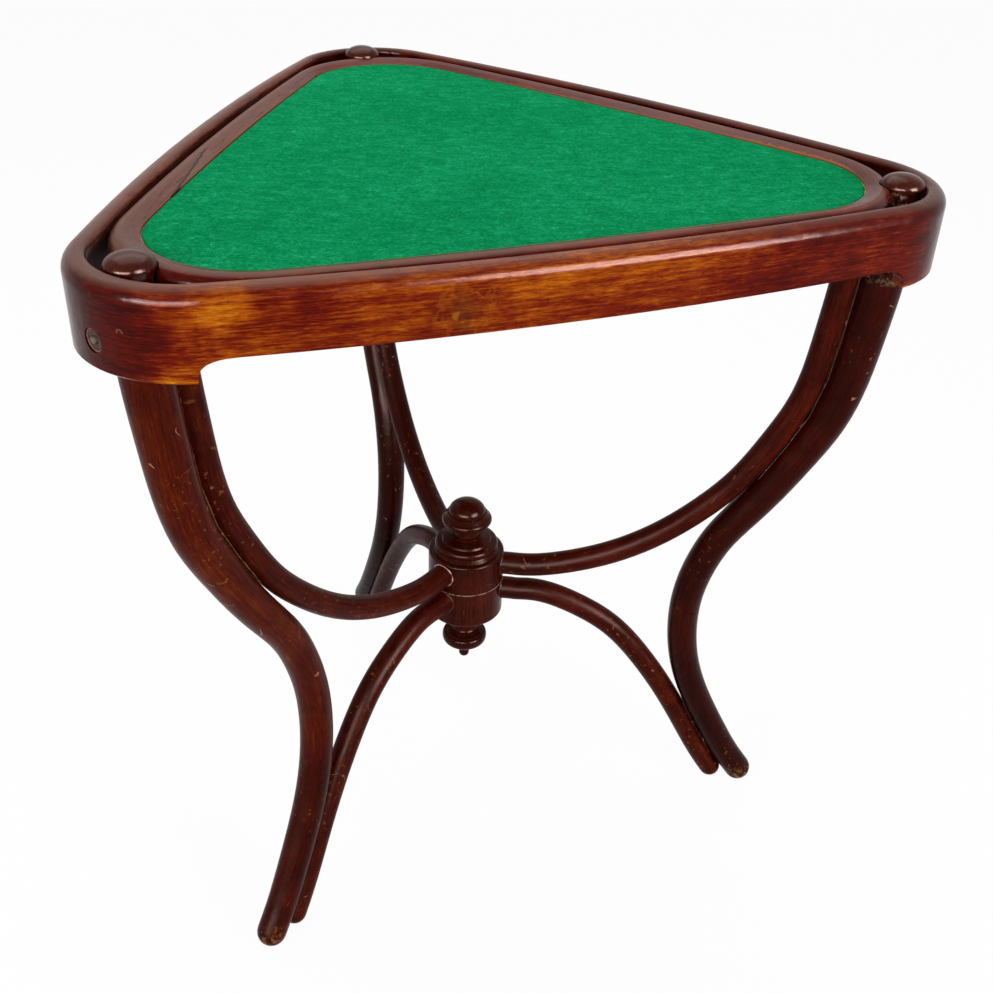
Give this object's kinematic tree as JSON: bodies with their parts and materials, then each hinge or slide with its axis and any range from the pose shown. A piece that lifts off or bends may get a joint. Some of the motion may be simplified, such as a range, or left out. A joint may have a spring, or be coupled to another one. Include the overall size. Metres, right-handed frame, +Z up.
{
  "type": "card table",
  "caption": "Bentwood card table: a rounded triangular felted top lifts out of a deep bent hoop; S-curved legs and paired arms meet in a turned hub.",
  "frame": {"origin": "centre of the table's footprint box, on the floor under the feet", "axes": "+Z up, +Y towards the back corner, so the front side of the hoop runs along X at -Y; the hub's axis stands 72 mm in front of the origin"},
  "size_m": [0.7344, 0.676, 0.748],
  "materials": {
    "stained_beech": "gloss",
    "board_wood": "matte",
    "baize": "matte",
    "dark_iron": "satin",
    "fastener_steel": "satin"
  },
  "bodies": {
    "frame": {"apron_hoop": "stained_beech", "corner_bolts": "dark_iron", "corner_nuts": "fastener_steel", "corner_washers": "fastener_steel", "finial": "stained_beech", "hub_lower": "stained_beech", "hub_spindle": "stained_beech", "hub_upper": "stained_beech", "knob_back": "stained_beech", "knob_front_left": "stained_beech", "knob_right": "stained_beech", "ledge_back_left": "board_wood", "ledge_back_right": "board_wood", "ledge_front": "board_wood", "ledge_screws": "fastener_steel", "leg_back": "stained_beech", "leg_front_left": "stained_beech", "leg_right": "stained_beech", "lower_arm_back": "stained_beech", "lower_arm_front_left": "stained_beech", "lower_arm_right": "stained_beech", "lower_dowels": "board_wood", "pendant": "stained_beech", "upper_arm_back": "stained_beech", "upper_arm_front_left": "stained_beech", "upper_arm_right": "stained_beech", "upper_dowels": "board_wood"},
    "top": {"top_rim": "stained_beech", "top_board": "board_wood", "baize": "baize"}
  },
  "joints": [
    {"name": "top_lift", "type": "slide", "parent": "frame", "child": "top", "axis": [0, 0, 1], "range_m": [0, 0.12]}
  ]
}
